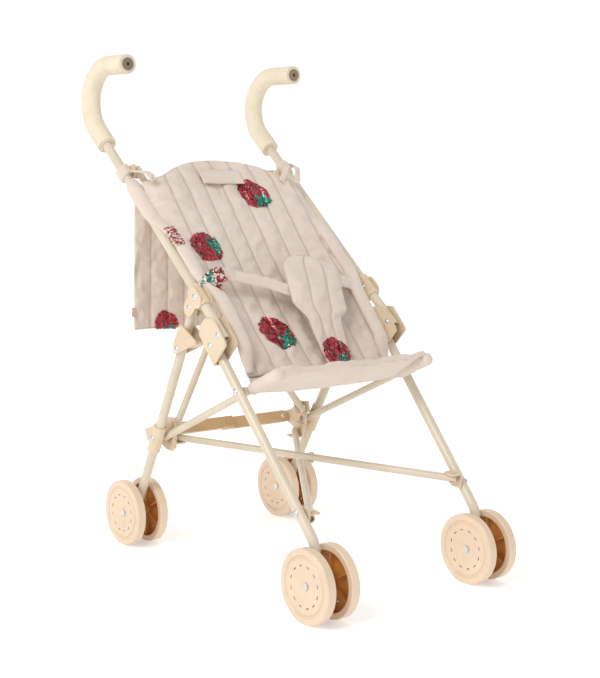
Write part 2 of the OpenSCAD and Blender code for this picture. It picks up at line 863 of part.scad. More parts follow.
// The waist belt: one strap from each handle tube to the pad
module waist_belt() {
    color(CLOTH)
        for (side = [-1, 1])
            toward([side > 0 ? pad_x + 34 : pad_x - 34, seat_pivot[0] + 42 - y_mid, seat_pivot[1] + 98],
                   [side * (back_half - 4), seat_pivot[0] + 62 - y_mid, seat_pivot[1] + 98])
                translate([-7, -1.2, 0])
                    cube([14, 2.4, side > 0 ? back_half - 40 - pad_x : back_half - 40 + pad_x]);
}

rear_leg(-1);  // right_rear_leg
rear_rivets(-1);  // right_rear_rivets
axle(-1, rear_foot_x, rear_axle);  // right_rear_axle
rear_lower_bracket(-1);  // right_rear_lower_bracket
wheel(-1, rear_foot_x, rear_axle, 1);  // right_rear_outer_wheel
wheel(-1, rear_foot_x, rear_axle, -1);  // right_rear_inner_wheel
handle_tube(-1);  // right_handle_tube
foam_grip(-1);  // right_foam_grip
grip_plug(-1);  // right_grip_plug
hinge_collar(-1);  // right_hinge_collar
handle_rivets(-1);  // right_handle_rivets
front_leg(-1);  // right_front_leg
knee_bracket(-1);  // right_knee_bracket
leg_rivets(-1);  // right_leg_rivets
axle(-1, front_foot_x, front_axle);  // right_front_axle
wheel(-1, front_foot_x, front_axle, 1);  // right_front_outer_wheel
wheel(-1, front_foot_x, front_axle, -1);  // right_front_inner_wheel
fold_latch(-1);  // right_fold_latch
seat_rail(-1);  // right_seat_rail
lower_cross_knuckle(-1);  // right_lower_cross_knuckle
lower_cross_tube(-1);  // right_lower_cross_tube
lower_cross_end(-1);  // right_lower_cross_end
rear_cross_knuckle(-1);  // right_rear_cross_knuckle
rear_cross_tube(-1);  // right_rear_cross_tube
rear_cross_end(-1);  // right_rear_cross_end
lock_bar_half(-1);  // right_lock_bar_half
rear_leg(1);  // left_rear_leg
rear_rivets(1);  // left_rear_rivets
axle(1, rear_foot_x, rear_axle);  // left_rear_axle
rear_lower_bracket(1);  // left_rear_lower_bracket
wheel(1, rear_foot_x, rear_axle, 1);  // left_rear_outer_wheel
wheel(1, rear_foot_x, rear_axle, -1);  // left_rear_inner_wheel
handle_tube(1);  // left_handle_tube
foam_grip(1);  // left_foam_grip
grip_plug(1);  // left_grip_plug
hinge_collar(1);  // left_hinge_collar
handle_rivets(1);  // left_handle_rivets
front_leg(1);  // left_front_leg
knee_bracket(1);  // left_knee_bracket
leg_rivets(1);  // left_leg_rivets
axle(1, front_foot_x, front_axle);  // left_front_axle
wheel(1, front_foot_x, front_axle, 1);  // left_front_outer_wheel
wheel(1, front_foot_x, front_axle, -1);  // left_front_inner_wheel
fold_latch(1);  // left_fold_latch
seat_rail(1);  // left_seat_rail
lower_cross_knuckle(1);  // left_lower_cross_knuckle
lower_cross_tube(1);  // left_lower_cross_tube
lower_cross_end(1);  // left_lower_cross_end
rear_cross_knuckle(1);  // left_rear_cross_knuckle
rear_cross_tube(1);  // left_rear_cross_tube
rear_cross_end(1);  // left_rear_cross_end
lock_bar_half(1);  // left_lock_bar_half
seat_back_quilt();
seat_base_quilt();
side_wing(-1);  // right_side_wing
side_wing(1);  // left_side_wing
rear_quilted_panel();
crotch_pad();
waist_belt();
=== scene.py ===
"""A folding doll stroller: the looks of its frame, and its quilted cotton sling.

Metres, +Z up, and the doll faces -Y.
"""

import json
import math
import random

import bpy
from mathutils import Matrix, Vector, noise
from mathutils.bvhtree import BVHTree


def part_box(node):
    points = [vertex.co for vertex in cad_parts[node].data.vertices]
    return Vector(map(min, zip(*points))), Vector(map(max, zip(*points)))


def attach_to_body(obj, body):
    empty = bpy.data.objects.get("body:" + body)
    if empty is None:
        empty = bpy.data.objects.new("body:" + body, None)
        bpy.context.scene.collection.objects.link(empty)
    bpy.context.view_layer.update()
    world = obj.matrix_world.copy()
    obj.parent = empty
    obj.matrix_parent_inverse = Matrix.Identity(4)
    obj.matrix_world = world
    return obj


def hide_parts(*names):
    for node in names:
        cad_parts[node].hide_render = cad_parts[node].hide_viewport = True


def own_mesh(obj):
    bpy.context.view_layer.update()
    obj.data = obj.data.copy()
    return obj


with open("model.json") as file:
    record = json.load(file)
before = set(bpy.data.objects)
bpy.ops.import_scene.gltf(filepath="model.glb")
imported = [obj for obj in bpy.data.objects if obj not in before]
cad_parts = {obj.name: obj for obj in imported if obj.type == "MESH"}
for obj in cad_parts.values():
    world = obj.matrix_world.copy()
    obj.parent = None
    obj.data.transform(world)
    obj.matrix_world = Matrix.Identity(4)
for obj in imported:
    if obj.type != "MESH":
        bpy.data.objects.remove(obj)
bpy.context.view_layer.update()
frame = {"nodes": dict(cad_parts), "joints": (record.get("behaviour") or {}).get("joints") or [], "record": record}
MM = 0.001

# ---- Places, worked out from the frame's own joints ----

JOINT = {j["name"]: j for j in frame["joints"]}


def pivot(name):
    """A joint's place in the side plane, as (y, z)."""
    p = JOINT[name]["pos_m"]
    return Vector((p[1], p[2]))


KNEE = pivot("right_knee")
UPPER_CROSS = pivot("left_rear_cross_end_hinge")
RAIL_HINGE = pivot("right_rail_hinge")
SIDE_X = -JOINT["right_knee"]["pos_m"][0]
TUBE_R = 5.25 * MM
# along the handle tubes, and square to them, out behind the seat
UP = (UPPER_CROSS - KNEE).normalized()
OUT = Vector((UP.y, -UP.x))

SEAT_BASE_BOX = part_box("seat_base_quilt")
PANEL_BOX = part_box("rear_quilted_panel")
# where the seat back meets the seat, and the seat back's top corners
CREASE = KNEE + Vector((-17.6, -43.8)) * MM
BACK_TOP = UPPER_CROSS + Vector((-33, -4)) * MM
BACK_DIR = (BACK_TOP - CREASE).normalized()
BACK_OUT = Vector((BACK_DIR.y, -BACK_DIR.x))
BACK_LENGTH = (BACK_TOP - CREASE).length
# the seat's front edge, the rails' front ends on the front legs, and the rails' line
SEAT_FRONT = Vector((SEAT_BASE_BOX[0][1], SEAT_BASE_BOX[1][2] - 3 * MM))
SEAT_PIVOT = CREASE + Vector((-9, -12)) * MM
RAIL_DIR = (SEAT_PIVOT - RAIL_HINGE).normalized()
RAIL_FRONT = (SEAT_FRONT - SEAT_PIVOT).dot(RAIL_DIR)


def at(x, p):
    """A point from its sideways place and its (y, z)."""
    return Vector((x, p[0], p[1]))


def on_handle(along, out):
    """A side-plane point along the handle tube from the knee, and out behind it."""
    return KNEE + UP * along + OUT * out


def mix(a, b, k):
    """From a to b as k goes from 0 to 1."""
    return a + (b - a) * k


def smooth(a, b, x):
    """0 before a, 1 after b, and an even S curve between."""
    t = min(1.0, max(0.0, (x - a) / (b - a)))
    return t * t * (3 - 2 * t)


# ---- Materials ----


class Nodes:
    """Short names for building one material's node tree."""

    def __init__(self, name):
        self.mat = bpy.data.materials.new(name)
        self.mat.use_nodes = True
        self.tree = self.mat.node_tree
        self.shader = self.tree.nodes["Principled BSDF"]

    def add(self, kind, **values):
        """A node, with its settings and input values by name."""
        node = self.tree.nodes.new(kind)
        for key, value in values.items():
            if hasattr(node, key) and key not in node.inputs:
                setattr(node, key, value)
            else:
                node.inputs[key.replace("_", " ")].default_value = value
        return node

    def link(self, a, b):
        self.tree.links.new(a, b)

    def noise(self, scale, detail=4.0, vector=None, stretch=None):
        """Noise over the piece's own coordinates."""
        node = self.add("ShaderNodeTexNoise", Scale=scale, Detail=detail)
        source = vector or self.add("ShaderNodeTexCoord").outputs["Object"]
        if stretch:
            mapping = self.add("ShaderNodeMapping", Scale=stretch)
            self.link(source, mapping.inputs["Vector"])
            source = mapping.outputs["Vector"]
        self.link(source, node.inputs["Vector"])
        return node.outputs["Fac"]

    def ramp(self, fac, stops):
        """Colours along a factor; stops are (place, colour)."""
        node = self.add("ShaderNodeValToRGB")
        while len(node.color_ramp.elements) < len(stops):
            node.color_ramp.elements.new(0.5)
        for element, (place, colour) in zip(node.color_ramp.elements, stops):
            element.position = place
            element.color = (*colour, 1)
        self.link(fac, node.inputs["Fac"])
        return node.outputs["Color"]

    def math(self, operation, a, b):
        node = self.add("ShaderNodeMath", operation=operation)
        for socket, value in zip(node.inputs, (a, b)):
            if isinstance(value, (int, float)):
                socket.default_value = value
            else:
                self.link(value, socket)
        return node.outputs[0]

    def blend(self, factor, color, other):
        """The colour socket, or the other colour where the factor is 1."""
        node = self.tree.nodes.new("ShaderNodeMix")
        node.data_type = "RGBA"
        self.link(factor, node.inputs[0])
        self.link(color, node.inputs[6])
        node.inputs[7].default_value = (*other, 1)
        return node.outputs[2]

    def bump(self, height, distance, strength, normal=None):
        """A bumped normal; distance is the relief's depth in metres."""
        node = self.add("ShaderNodeBump", Distance=distance, Strength=strength)
        self.link(height, node.inputs["Height"])
        if normal:
            self.link(normal, node.inputs["Normal"])
        return node.outputs["Normal"]

    def finish(self, color, normal=None, roughness=0.5, **values):
        """Wires the shader up. roughness is a number, or (source, low, high)."""
        self.link(color, self.shader.inputs["Base Color"])
        if normal:
            self.link(normal, self.shader.inputs["Normal"])
        if isinstance(roughness, tuple):
            source, low, high = roughness
            span = self.add("ShaderNodeMapRange")
            span.inputs["To Min"].default_value = low
            span.inputs["To Max"].default_value = high
            self.link(source, span.inputs["Value"])
            self.link(span.outputs["Result"], self.shader.inputs["Roughness"])
        else:
            self.shader.inputs["Roughness"].default_value = roughness
        for key, value in values.items():
            self.shader.inputs[key.replace("_", " ")].default_value = value
        return self.mat


def paint():
    """Ivory powder coat on steel tube: faint orange peel and a soft clear gloss."""
    m = Nodes("ivory_paint")
    cloud = m.noise(18, 3)
    peel = m.noise(1400, 2)
    color = m.ramp(cloud, [(0.3, (0.60, 0.51, 0.385)), (0.7, (0.66, 0.57, 0.44))])
    return m.finish(color, m.bump(peel, 0.00004, 0.35), (m.noise(60), 0.30, 0.42),
                    Coat_Weight=0.25, Coat_Roughness=0.2)


def plastic(name, low, high, rough=0.42, wheel=None):
    """Moulded plastic. wheel = (outward, y, z, radius, colour) paints a warm glow and shade inside a wheel's rim.
    """
    m = Nodes(name)
    color = m.ramp(m.noise(25, 5), [(0.3, low), (0.7, high)])
    if wheel:
        # painted light: a warm glow and shade in golden brown inside a wheel's rim
        color = m.blend(painted_rim_glow_mask(m, *wheel[:4]), color, wheel[4])
    grain = m.noise(900, 3)
    return m.finish(color, m.bump(grain, 0.00005, 0.4), (m.noise(140), rough - 0.06, rough + 0.08),
                    Subsurface_Weight=0.08, Subsurface_Radius=(0.004, 0.002, 0.001))


def painted_rim_glow_mask(m, outward, y, z, radius):
    """1 on faces within a radius of the axle that don't look outwards along X, else 0: where a wheel's painted
    glow and shade go.
    """
    place = m.add("ShaderNodeSeparateXYZ")
    m.link(m.add("ShaderNodeTexCoord").outputs["Object"], place.inputs[0])
    dy = m.math("SUBTRACT", place.outputs["Y"], y)
    dz = m.math("SUBTRACT", place.outputs["Z"], z)
    squares = m.math("ADD", m.math("MULTIPLY", dy, dy), m.math("MULTIPLY", dz, dz))
    near = m.math("LESS_THAN", squares, radius ** 2)
    facing = m.add("ShaderNodeSeparateXYZ")
    m.link(m.add("ShaderNodeNewGeometry").outputs["Normal"], facing.inputs[0])
    turned = m.math("LESS_THAN", m.math("MULTIPLY", facing.outputs["X"], outward), 0.5)
    return m.math("MULTIPLY", near, turned)


def foam():
    """Closed-cell foam: a fine skin of tiny cells."""
    m = Nodes("beige_foam")
    cells = m.add("ShaderNodeTexVoronoi", Scale=900)
    m.link(m.add("ShaderNodeTexCoord").outputs["Object"], cells.inputs["Vector"])
    color = m.ramp(m.noise(70, 5), [(0.25, (0.68, 0.59, 0.44)), (0.75, (0.76, 0.67, 0.52))])
    dents = m.bump(m.noise(160, 4), 0.0003, 0.5)
    return m.finish(color, m.bump(cells.outputs["Distance"], 0.0003, 0.6, dents), 0.86)


def steel():
    """Zinc-plated steel, drawn along Y."""
    m = Nodes("zinc_steel")
    streaks = m.noise(500, 3, stretch=(1, 0.2, 1))
    color = m.ramp(streaks, [(0.2, (0.55, 0.55, 0.57)), (0.8, (0.75, 0.75, 0.77))])
    return m.finish(color, m.bump(streaks, 0.00003, 0.4), (streaks, 0.18, 0.34), Metallic=1.0)


def cotton(name, weave):
    """Plain-woven cotton: crossed thread waves over the piece's own map, slubs, soft crumples and painted shade
    along the seams.
    """
    low, high, painted_seam_shade = (0.63, 0.53, 0.45), (0.72, 0.61, 0.53), (0.34, 0.23, 0.16)
    m = Nodes(name)
    uv = m.add("ShaderNodeTexCoord").outputs["UV"]
    split = m.add("ShaderNodeSeparateXYZ")
    m.link(uv, split.inputs[0])
    warp = m.math("SINE", m.math("MULTIPLY", split.outputs["X"], weave), 0)
    weft = m.math("SINE", m.math("MULTIPLY", split.outputs["Y"], weave), 0)
    threads = m.math("MULTIPLY", warp, weft)
    slub = m.noise(260, 5, vector=uv, stretch=(0.25, 1, 1))
    cloud = m.noise(22, 6)
    shade = m.math("ADD", m.math("MULTIPLY", slub, 0.45), m.math("MULTIPLY", cloud, 0.55))
    shade = m.math("ADD", shade, m.math("MULTIPLY", threads, 0.05))
    color = m.ramp(shade, [(0.3, low), (0.68, high)])
    # painted shade in the grooves along the sewn seams
    sewn = m.add("ShaderNodeAttribute", attribute_name="seam").outputs["Fac"]
    color = m.blend(m.math("MULTIPLY", m.math("POWER", sewn, 2.5), 0.6), color, painted_seam_shade)
    crumple = m.bump(m.noise(55, 5), 0.0022, 0.5)
    slubs = m.bump(slub, 0.0004, 0.5, crumple)
    return m.finish(color, m.bump(threads, 0.00012, 0.5, slubs), 0.9, Sheen_Weight=0.25,
                    Sheen_Roughness=0.5, Subsurface_Weight=0.06,
                    Subsurface_Radius=(0.003, 0.002, 0.0015))


def thread_material():
    """Sewing thread, a little darker than the cloth."""
    m = Nodes("sewing_thread")
    color = m.ramp(m.noise(600), [(0.3, (0.50, 0.38, 0.30)), (0.7, (0.62, 0.49, 0.40))])
    return m.finish(color, m.bump(m.noise(3000), 0.0001, 0.5), 0.8)


def sequin(name, dark, bright):
    """A shiny disc with painted reflection: its colour goes from dark through bright to a painted glint, from
    sequin to sequin.
    """
    m = Nodes(name)
    reflection_level = m.add("ShaderNodeAttribute", attribute_name="reflection_level").outputs["Fac"]
    # painted highlight: a lighter copy of the bright colour
    painted_glint = tuple(min(1, c * 1.5 + 0.05) for c in bright)
    color = m.ramp(reflection_level, [(0.0, dark), (0.55, bright), (1.0, painted_glint)])
    return m.finish(color, m.bump(m.noise(2500), 0.00005, 0.3), 0.22, Metallic=0.55,
                    Coat_Weight=0.6, Coat_Roughness=0.08)


MATERIAL = {
    "painted_tube": paint(),
    "bracket_plastic": plastic("cream_plastic", (0.65, 0.50, 0.34), (0.71, 0.57, 0.41)),
    "foam": foam(),
    "plug_plastic": plastic("taupe_plastic", (0.20, 0.14, 0.09), (0.27, 0.20, 0.14), 0.6),
    "tan_plastic": plastic("tan_plastic", (0.52, 0.35, 0.17), (0.60, 0.42, 0.23), 0.35),
    "rivet_steel": steel(),
}


def wheel_material(name):
    """Cream outside, and a painted warm glow and shade in golden brown inside the rim, for one wheel's place."""
    cream = ((0.69, 0.53, 0.38), (0.76, 0.60, 0.44))
    # painted glow and shade for the inside of the rim
    rim_glow_shade = (0.58, 0.25, 0.055)
    low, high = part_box(name)
    middle = (low + high) / 2
    radius = (high.z - low.z) / 2
    side = 1 if name.startswith("left") else -1
    outward = side if "outer" in name else -side
    wheel = (outward, middle.y, middle.z, radius * 0.84, rim_glow_shade)
    return plastic(f"{name}_plastic", *cream, rough=0.4, wheel=wheel)


# the weaves are in radians of thread wave per metre
COTTON = cotton("cream_cotton", 3800.0)
STRAP = cotton("cream_strap", 3000.0)
THREAD = thread_material()
RED = sequin("red_sequins", (0.06, 0.003, 0.006), (0.42, 0.008, 0.025))
TEAL = sequin("teal_sequins", (0.0, 0.05, 0.035), (0.0, 0.26, 0.17))
PALE = sequin("pale_sequins", (0.55, 0.30, 0.24), (0.85, 0.70, 0.62))


def dress_frame():
    """Materials for the frame's own nodes, and softened edges on its moulded parts."""
    slots = {s["node"]: s["material_slot"] for s in frame["record"]["subparts"]}
    for name, obj in frame["nodes"].items():
        if "wheel" in name:
            material = wheel_material(name)
        else:
            material = MATERIAL.get(slots[name])
        if material is None:
            continue
        obj.data.materials.clear()
        obj.data.materials.append(material)
        if slots[name] in ("bracket_plastic", "tan_plastic"):
            bevel = obj.modifiers.new("soft_edge", "BEVEL")
            bevel.width = 0.35 * MM
            bevel.segments = 2
            bevel.limit_method = "ANGLE"
            bevel.angle_limit = math.radians(40)


# ---- Mesh helpers ----

# grid columns in each sewn channel of a quilted pad
CHANNEL_COLS = 8


def mesh_object(name, verts, faces, material, uvs=None, smooth_faces=True):
    """A new object from points and faces, with one (u, v) a point."""
    mesh = bpy.data.meshes.new(name)
    mesh.from_pydata([tuple(v) for v in verts], [], faces)
    if uvs:
        layer = mesh.uv_layers.new(name="UVMap")
        for loop in mesh.loops:
            layer.data[loop.index].uv = uvs[loop.vertex_index]
    mesh.polygons.foreach_set("use_smooth", [smooth_faces] * len(mesh.polygons))
    mesh.materials.append(material)
    mesh.update()
    obj = bpy.data.objects.new(name, mesh)
    bpy.context.scene.collection.objects.link(obj)
    return obj


def subdivide(obj):
    """One level of smoothing, alike in every view."""
    sub = obj.modifiers.new("smooth", "SUBSURF")
    sub.levels = sub.render_levels = 1
    return obj


def attach(obj, body):
    """Every soft piece rides on a body, with a mesh of its own."""
    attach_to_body(obj, body)
    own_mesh(obj)
    return obj


def normal_of(surface, u, v):
    """A surface's normal, from its neighbouring points."""
    e = 0.004
    du = surface(min(1, u + e), v) - surface(max(0, u - e), v)
    dv = surface(u, min(1, v + e)) - surface(u, max(0, v - e))
    return du.cross(dv).normalized()


def crumple(p, size, seed):
    """Gentle folds, longer across a channel than along it."""
    q = Vector((p.x * 26, p.y * 48, p.z * 70)) + Vector((seed, 2 * seed, 0))
    return noise.noise(q) * size + noise.noise(q * 2.3) * size * 0.45


def panel(name, surface, size, seams, puffs, material, thin=1.1, seed=1, rows=None, per=CHANNEL_COLS):
    """A quilted pad: two layers sewn together along the seams and round the edge.

    surface(u, v) is the middle layer, u across and v along. size is (width, length) in metres, seams
    are the u values of the sewn lines from edge to edge, and puffs each channel's fullness in mm.
    """
    cols = (len(seams) - 1) * per
    rows = rows or max(12, int(size[1] / (4.5 * MM)))
    front, back, uvs, held = [], [], [], []
    for j in range(rows + 1):
        v = j / rows
        end = min(1.0, min(j, rows - j) / 3.0) ** 0.5
        for i in range(cols + 1):
            k = min(i // per, len(puffs) - 1)
            share = (i - k * per) / per
            u = mix(seams[k], seams[k + 1], share)
            p = surface(u, v)
            n = normal_of(surface, u, v)
            across = abs(math.sin(math.pi * share)) ** 0.6
            half = (0.5 * thin + 0.55 * puffs[k] * across * end) * MM
            drift = crumple(p, 0.9 * MM, seed)
            front.append(p + n * (half + drift))
            back.append(p - n * (half - drift))
            uvs.append((u * size[0], v * size[1]))
            held.append(across < 0.01 or j in (0, rows))
    obj = mesh_object(name, front + back, two_layers(cols + 1, rows), material, uvs + uvs)
    mark_seams(obj, cols + 1, rows + 1, held)
    return obj


def two_layers(w, rows):
    """The faces of two equal grids of w columns, back to back and closed along their edge."""
    count = w * (rows + 1)
    faces = []
    for j in range(rows):
        for i in range(w - 1):
            a = j * w + i
            faces.append((a, a + 1, a + w + 1, a + w))
            faces.append((count + a, count + a + w, count + a + w + 1, count + a + 1))
    rim = list(range(w)) + [j * w + w - 1 for j in range(1, rows + 1)]
    rim += [rows * w + i for i in range(w - 2, -1, -1)] + [j * w for j in range(rows - 1, 0, -1)]
    return faces + [(b, a, count + a, count + b) for a, b in zip(rim, rim[1:] + rim[:1])]


def mark_seams(obj, w, rows, held):
    """Marks the inner seams for painted shade, holds all sewn points for the cloth, and notes the grid's size."""
    # where the cloth gets painted shade along its inner seams
    dark = [1.0 if sewn and 0 < i % w < w - 1 else 0.0 for i, sewn in enumerate(held)]
    seam = obj.data.attributes.new("seam", "FLOAT", "POINT")
    seam.data.foreach_set("value", dark * 2)
    group = obj.vertex_groups.new(name="sewn")
    for i, sewn in enumerate(held):
        if sewn:
            group.add([i, w * rows + i], 1.0, "REPLACE")
    obj["grid"] = [w, rows]


def even_seams(channels):
    """Seams that part a pad into equal channels."""
    return [k / channels for k in range(channels + 1)]


def puff_up(obj, pressure, grow, cap=4.5, frames=18):
    """Blows the sewn pad up as cloth: the seams hold, and spare cloth between them puckers.

    grow is the spare share of cloth, and cap is how far a point may move, in mm.
    """
    rest = [v.co.copy() for v in obj.data.vertices]
    cloth = cloth_modifier(obj, pressure, grow, frames)
    scene = bpy.context.scene
    for f in range(1, frames + 1):
        scene.frame_set(f)
    depsgraph = bpy.context.evaluated_depsgraph_get()
    moved = [v.co.copy() for v in obj.evaluated_get(depsgraph).data.vertices]
    obj.modifiers.remove(cloth)
    scene.frame_set(1)
    for vertex, a, b in zip(obj.data.vertices, rest, moved):
        step = b - a
        if step.length > cap * MM:
            step *= cap * MM / step.length
        vertex.co = a + step
    obj.data.update()


def cloth_modifier(obj, pressure, grow, frames):
    """Soft cotton under air pressure, held at the sewn points, with no weight."""
    cloth = obj.modifiers.new("puff", "CLOTH")
    s = cloth.settings
    s.quality = 5
    s.mass = 0.15
    s.tension_stiffness = 12
    s.compression_stiffness = 6
    s.shear_stiffness = 3
    s.bending_stiffness = 0.15
    s.use_pressure = True
    s.uniform_pressure_force = pressure
    s.shrink_min = -grow
    s.vertex_group_mass = "sewn"
    s.effector_weights.gravity = 0
    cloth.collision_settings.use_collision = False
    cloth.point_cache.frame_start = 1
    cloth.point_cache.frame_end = frames
    return cloth


def stitches(obj, columns, lift=0.35, pitch=3.4):
    """Short threads along the given grid columns of a quilted panel's front."""
    w, rows = obj["grid"]
    points = [v.co.copy() for v in obj.data.vertices]
    verts, faces = [], []
    for i in columns:
        line = [points[j * w + i] for j in range(rows)]
        side = [points[j * w + min(w - 1, i + 1)] - points[j * w + max(0, i - 1)] for j in range(rows)]
        add_stitches(line, side, verts, faces, lift, pitch)
    attach(mesh_object(f"{obj.name}_stitches", verts, faces, THREAD), "right_handle")


def add_stitches(line, side, verts, faces, lift, pitch):
    """Threads along a line: each is a small four-sided spindle that stands off the cloth, in mm."""
    travelled, start = 0.0, None
    for k in range(len(line) - 1):
        step = line[k + 1] - line[k]
        if start is None:
            start = k
        travelled += step.length
        if travelled < pitch * MM:
            continue
        a, b = line[start], line[k + 1]
        along = (b - a) * 0.36
        middle = (a + b) / 2
        across = side[k].normalized() * 0.28 * MM
        up = side[k].cross(along).normalized() * lift * MM
        base = len(verts)
        verts.extend([middle - along, middle + across + up * 0.4, middle + up,
                      middle - across + up * 0.4, middle + along])
        faces.extend([(base, base + 1, base + 2), (base, base + 2, base + 3),
                      (base + 4, base + 2, base + 1), (base + 4, base + 3, base + 2)])
        travelled, start = 0.0, None


def sweep(name, path, section, material, ring=14):
    """A closed tube along a path. section(s, a) gives its two radii, s along it and angle a round it."""
    around = 40 * MM
    verts, faces, uvs = [], [], []
    up = Vector((1, 0, 0))
    total = len(path) - 1
    travelled = 0.0
    for k, p in enumerate(path):
        ahead = path[min(total, k + 1)] - path[max(0, k - 1)]
        t = ahead.normalized()
        up = (up - t * up.dot(t)).normalized()
        other = t.cross(up)
        if k:
            travelled += (p - path[k - 1]).length
        for i in range(ring):
            a = 2 * math.pi * i / ring
            rx, ry = section(k / total, a)
            verts.append(p + up * math.cos(a) * rx + other * math.sin(a) * ry)
            uvs.append((around * i / ring, travelled))
    for k in range(total):
        for i in range(ring):
            a, b = k * ring + i, k * ring + (i + 1) % ring
            faces.append((a, b, b + ring, a + ring))
    faces.append(tuple(range(ring - 1, -1, -1)))
    faces.append(tuple(total * ring + i for i in range(ring)))
    return mesh_object(name, verts, faces, material, uvs)


def curve_points(points, count):
    """A smooth line through given points (Catmull-Rom)."""
    pts = [points[0] * 2 - points[1]] + list(points) + [points[-1] * 2 - points[-2]]
    spans = len(points) - 1
    made = []
    for k in range(count + 1):
        t = k / count * spans
        i = min(int(t), spans - 1)
        f = t - i
        a, b, c, d = pts[i:i + 4]
        made.append(0.5 * (2 * b + (c - a) * f + (2 * a - 5 * b + 4 * c - d) * f ** 2
                           + (3 * b - a - 3 * c + d) * f ** 3))
    return made


def strap(name, points, turn, width, thick, material, count, wave, seed=3):
    """A flat sewn strap along a line, its face turned one way.

    width is (start, end), and with thick and wave, how far its edges curl, it is in mm.
    """
    path = curve_points(points, count)
    facing = Vector(turn)
    cols = 6
    layers = ([], [])
    uvs = []
    travelled = 0.0
    for k, p in enumerate(path):
        t = (path[min(count, k + 1)] - path[max(0, k - 1)]).normalized()
        n = (facing - t * facing.dot(t)).normalized()
        across = t.cross(n)
        if k:
            travelled += (p - path[k - 1]).length
        broad = mix(*width, k / count) * MM
        for i in range(cols + 1):
            s = i / cols * 2 - 1
            edge = 0.35 + 0.65 * (1 - abs(s) ** 4)
            curl = wave * MM * noise.noise(Vector((k * 0.21, s * 1.3, seed)))
            place = p + across * s * broad / 2 + n * curl
            layers[0].append(place + n * thick * 0.5 * edge * MM)
            layers[1].append(place - n * thick * 0.5 * edge * MM)
            uvs.append((s * broad / 2, travelled))
    return mesh_object(name, layers[0] + layers[1], two_layers(cols + 1, count), material, uvs + uvs)


# ---- The sling ----

SIDEWAYS = Vector((1, 0, 0))
# the way the straps face: forward, and a little up
FORWARD = (0, -0.8, 0.35)
# the seat back's channels: seven of equal width, and a narrow one at each edge
CHANNELS = 7
PITCH = 25.3 * MM
MIDDLE = 3 * MM
FLAT_HALF = CHANNELS / 2 * PITCH
EDGE = 99 * MM
# how far the seat back's middle stands above its corners, and half the seat's width
ARCH = 31 * MM
SEAT_HALF = 97 * MM


def edge_x(v, side):
    """A sleeve's middle: in beside the knee bracket's rivets, then against its tube.

    The right sleeve goes on round the tube at its top, and the left one stays inside.
    """
    beside, top = (108, 117) if side < 0 else (102.5, 105)
    return mix(mix(94.5, beside, smooth(0.30, 0.48, v)), top, smooth(0.66, 0.85, v)) * MM


def wing_depth(v):
    """How far the sides stand forward of the seat back."""
    return (11 * smooth(0, 0.14, v) * (1 - 0.8 * smooth(0.3, 0.7, v))) * MM


def on_sling(x, along, forward=0.0):
    """A point by its sideways place, its way up the seat back and its way forward of it, in mm."""
    return at(x * MM, CREASE + BACK_DIR * along * MM - BACK_OUT * forward * MM)


def back_surface(u, v):
    """The seat back: slung between the tubes, arched at its top, its sides curling forward to them."""
    x = (2 * u - 1) * EDGE
    s = min(1.0, abs(x) / FLAT_HALF)
    rim = smooth(FLAT_HALF, EDGE, abs(x))
    outer = rim * smooth(0.62, 0.9, v)
    arch = ARCH * max(0.0, 1 - s ** 2.2) * smooth(0.6, 1.0, v) ** 1.4
    p = CREASE + BACK_DIR * (BACK_LENGTH * v + arch)
    sag = 8 * MM * math.sin(math.pi * min(1, v * 1.05)) * (1 - s * s)
    lean = 6 * MM * max(0.0, 1 - s ** 2) * smooth(0.9, 1.0, v)
    forward = wing_depth(v) * smooth(FLAT_HALF - 8 * MM, EDGE, abs(x))
    droop = BACK_DIR * (-10 if x > 0 else -2) * MM * smooth(0.9, 1.0, v) * rim
    wrap = BACK_OUT * 9 * MM * outer
    near = smooth(FLAT_HALF, EDGE, -x)
    spread = 0.045 * smooth(0.30, 0.48, v) * near * (1 - outer) + (0.08 + 0.07 * near) * outer
    return at(x * (1 + spread), p + droop + wrap + BACK_OUT * (sag + lean - forward))


def back_u(x):
    """The u of a seam at a sideways place."""
    return 0.5 + 0.5 * x / EDGE


def seat_back():
    """The quilted seat back, puffed up."""
    inner = [back_u(MIDDLE + PITCH * (k - CHANNELS / 2)) for k in range(CHANNELS + 1)]
    puffs = [2.5] + [4.6] * CHANNELS + [2.5]
    size = (2 * EDGE, BACK_LENGTH)
    obj = panel("seat_back", back_surface, size, [0.0] + inner + [1.0], puffs, COTTON, seed=2)
    puff_up(obj, pressure=4, grow=0.06)
    return obj


def sleeve_v(share):
    """How far up the seat back a sleeve is at a share of its length, from the top down."""
    return 1.05 - 1.04 * share


def sleeve_path(side):
    """Down round the handle tube's top, beside it, past the knee and in to the crease."""
    path = []
    for k in range(91):
        v = sleeve_v(k / 90)
        seat = CREASE + BACK_DIR * BACK_LENGTH * v - BACK_OUT * (wing_depth(v) + 2 * MM)
        tube = on_handle((seat - KNEE).dot(UP), -0.8 * MM)
        path.append(at(side * edge_x(v, side), mix(seat, tube, smooth(0.62, 0.82, v))))
    return path


def sleeve(side, name):
    """The padded edge that takes up the sling along one side frame."""
    def section(s, a):
        full = smooth(0.72, 0.93, sleeve_v(s))
        ends = min(1.0, 0.55 + 9 * s, 0.5 + 7 * (1 - s))
        ripple = 1 + 0.09 * noise.noise(Vector((s * 26, math.cos(a), side * 3.0)))
        ripple += 0.07 * noise.noise(Vector((s * 60, math.sin(a) * 1.5, side * 5.0)))
        depth = 8.6 if side < 0 else 6.5
        return mix(8.8, 9.6, full) * MM * ends * ripple, mix(5.2, depth, full) * MM * ends * ripple

    return sweep(name, sleeve_path(side), section, COTTON, ring=20)


def hem_wave(s):
    """How the seat's front hem rises and falls along its length, s from -1 to 1."""
    return (4.8 * noise.noise(Vector((s * 3.1, 0.7, 5))) + 2.4 * noise.noise(Vector((s * 8, 0.2, 1)))) * MM


